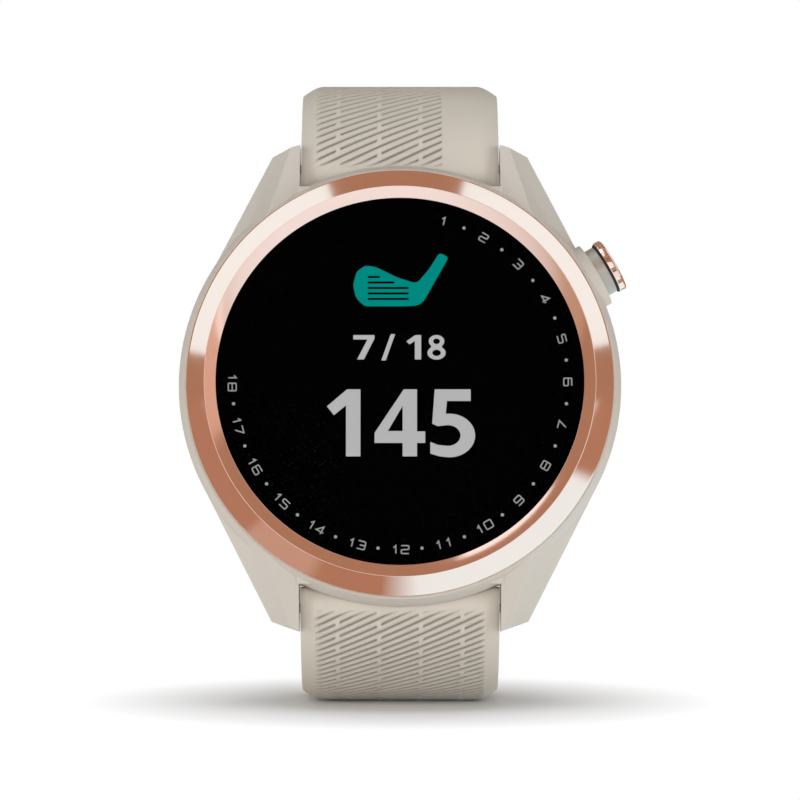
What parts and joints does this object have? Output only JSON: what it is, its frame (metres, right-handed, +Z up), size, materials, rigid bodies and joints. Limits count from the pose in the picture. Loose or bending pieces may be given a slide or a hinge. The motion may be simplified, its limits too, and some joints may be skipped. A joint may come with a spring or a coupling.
{
  "type": "golf gps watch",
  "caption": "Round golf watch with a two-facet bezel, faceted lugs, a push button and a two-piece silicone strap with buckle, standing open on its lower strap.",
  "frame": {"origin": "middle of the lower strap's flat rest, on the surface that the watch stands on", "axes": "+X towards 3 o'clock, -Y the way the dial faces, +Z up; the dial leans back 5 degrees"},
  "size_m": [0.0446, 0.0826, 0.0629],
  "materials": {
    "sand_polymer": "fine matt",
    "sand_silicone": "fine matt",
    "rose_gold": "polished",
    "steel": "satin",
    "lens_glass": "polished",
    "black_print": "gloss",
    "black_rubber": "matt",
    "dark_plastic": "matt",
    "amber_film": "gloss",
    "circuit_board": "solder mask",
    "antenna_ceramic": "fired",
    "cell_foil": "satin",
    "white_foam": "foam",
    "gold_plate": "plated"
  },
  "bodies": {
    "head": {"case_shell": "sand_polymer", "bezel_ring": "rose_gold", "lens": "lens_glass", "lens_gasket": "black_rubber", "dial_ring": "black_print", "display_panel": "black_print", "display_carrier": "dark_plastic", "display_flex": "amber_film", "main_board": "circuit_board", "rf_shield": "steel", "gps_antenna": "antenna_ceramic", "battery_cell": "cell_foil", "battery_pad": "white_foam", "battery_tabs": "gold_plate", "vibration_motor": "steel", "button_switch": "dark_plastic", "back_cover": "sand_polymer", "back_gasket": "black_rubber", "back_screws": "steel", "charge_socket": "dark_plastic", "charge_contacts": "gold_plate"},
    "button": {"button_cap": "rose_gold", "button_ring": "black_rubber", "button_shank": "steel", "button_stem": "steel", "button_seal": "black_rubber", "button_clip": "steel"},
    "upper_strap": {"upper_strap": "sand_silicone", "upper_bar_tube": "steel", "upper_bar_spring": "steel", "fixed_keeper": "sand_silicone", "buckle_pin": "rose_gold"},
    "upper_release": {"upper_release_pin": "steel"},
    "lower_strap": {"lower_strap": "sand_silicone", "lower_bar_tube": "steel", "lower_bar_spring": "steel"},
    "lower_release": {"lower_release_pin": "steel"},
    "buckle": {"buckle_frame": "rose_gold"},
    "tongue": {"buckle_tongue": "rose_gold"},
    "keeper": {"sliding_keeper": "sand_silicone"}
  },
  "joints": [
    {"name": "button_press", "type": "slide", "parent": "head", "child": "button", "axis": [-0.866, -0.0436, -0.4981], "range_m": [0, 0.0006], "stiffness_N_per_m": 2000},
    {"name": "upper_strap_swing", "type": "hinge", "parent": "head", "child": "upper_strap", "pos_m": [0, -0.02338, 0.05379], "axis": [1, 0, 0], "range_deg": [-12, 55]},
    {"name": "lower_strap_swing", "type": "hinge", "parent": "head", "child": "lower_strap", "pos_m": [0, -0.02722, 0.00995], "axis": [1, 0, 0], "range_deg": [-60, 5]},
    {"name": "buckle_swing", "type": "hinge", "parent": "upper_strap", "child": "buckle", "pos_m": [0, 0.01961, 0.02948], "axis": [1, 0, 0], "range_deg": [-30, 45]},
    {"name": "tongue_swing", "type": "hinge", "parent": "buckle", "child": "tongue", "pos_m": [0, 0.01961, 0.02948], "axis": [1, 0, 0], "range_deg": [0, 75]},
    {"name": "keeper_slide", "type": "hinge", "parent": "upper_strap", "child": "keeper", "pos_m": [0, -0.01239, 0.02948], "axis": [-1, 0, 0], "range_deg": [-10, 13]},
    {"name": "upper_release_slide", "type": "slide", "parent": "upper_strap", "child": "upper_release", "axis": [-1, 0, 0], "range_m": [0, 0.0013], "stiffness_N_per_m": 500},
    {"name": "lower_release_slide", "type": "slide", "parent": "lower_strap", "child": "lower_release", "axis": [-1, 0, 0], "range_m": [0, 0.0013], "stiffness_N_per_m": 500}
  ]
}
